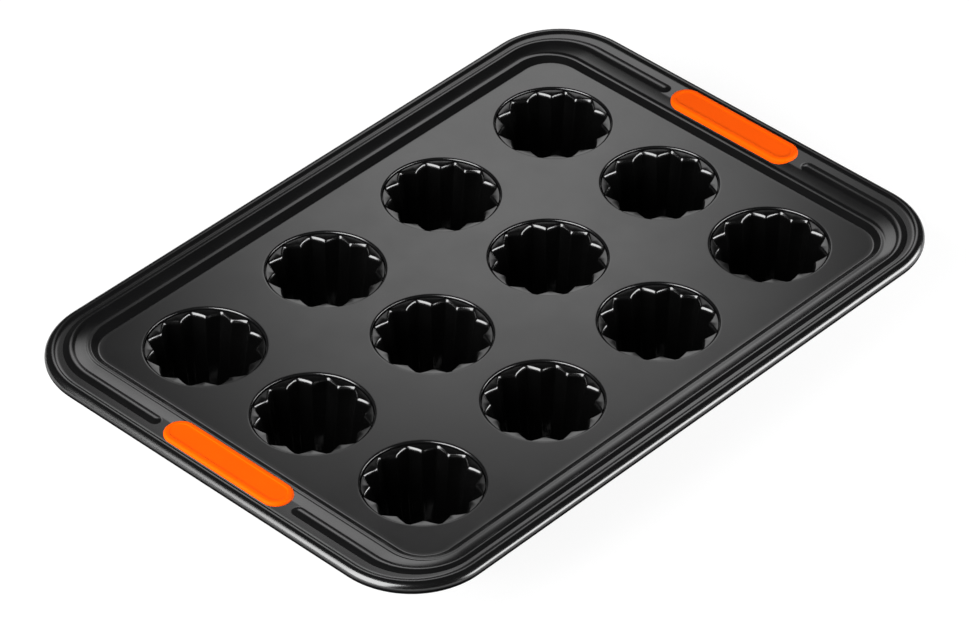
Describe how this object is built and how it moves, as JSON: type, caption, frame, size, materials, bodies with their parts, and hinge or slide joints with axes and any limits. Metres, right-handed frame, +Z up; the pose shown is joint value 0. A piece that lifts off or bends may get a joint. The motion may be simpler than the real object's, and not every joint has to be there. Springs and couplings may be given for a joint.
{
  "type": "canele pan",
  "caption": "Rectangular dark coated steel baking tray with deep fluted round cups, a rolled rim, a pressed rib and oblong orange silicone grips on its short sides.",
  "frame": {"origin": "on the resting surface, in the middle of the pan's outline", "axes": "+X along the pan's length, +Y across it, +Z up out of the cups' mouths"},
  "size_m": [0.38, 0.266, 0.0531],
  "materials": {
    "tray_coat": "satin black non-stick coat on steel sheet",
    "cup_coat": "satin black non-stick coat on steel sheet",
    "rim_wire": "drawn steel wire",
    "grip_silicone": "matt orange silicone"
  },
  "bodies": {
    "root": {"tray_sheet": "tray_coat", "rim_wire": "rim_wire", "cup_1_1": "cup_coat", "cup_1_2": "cup_coat", "cup_1_3": "cup_coat", "cup_2_1": "cup_coat", "cup_2_2": "cup_coat", "cup_2_3": "cup_coat", "cup_3_1": "cup_coat", "cup_3_2": "cup_coat", "cup_3_3": "cup_coat", "cup_4_1": "cup_coat", "cup_4_2": "cup_coat", "cup_4_3": "cup_coat", "grip_left": "grip_silicone", "grip_right": "grip_silicone"}
  },
  "joints": []
}
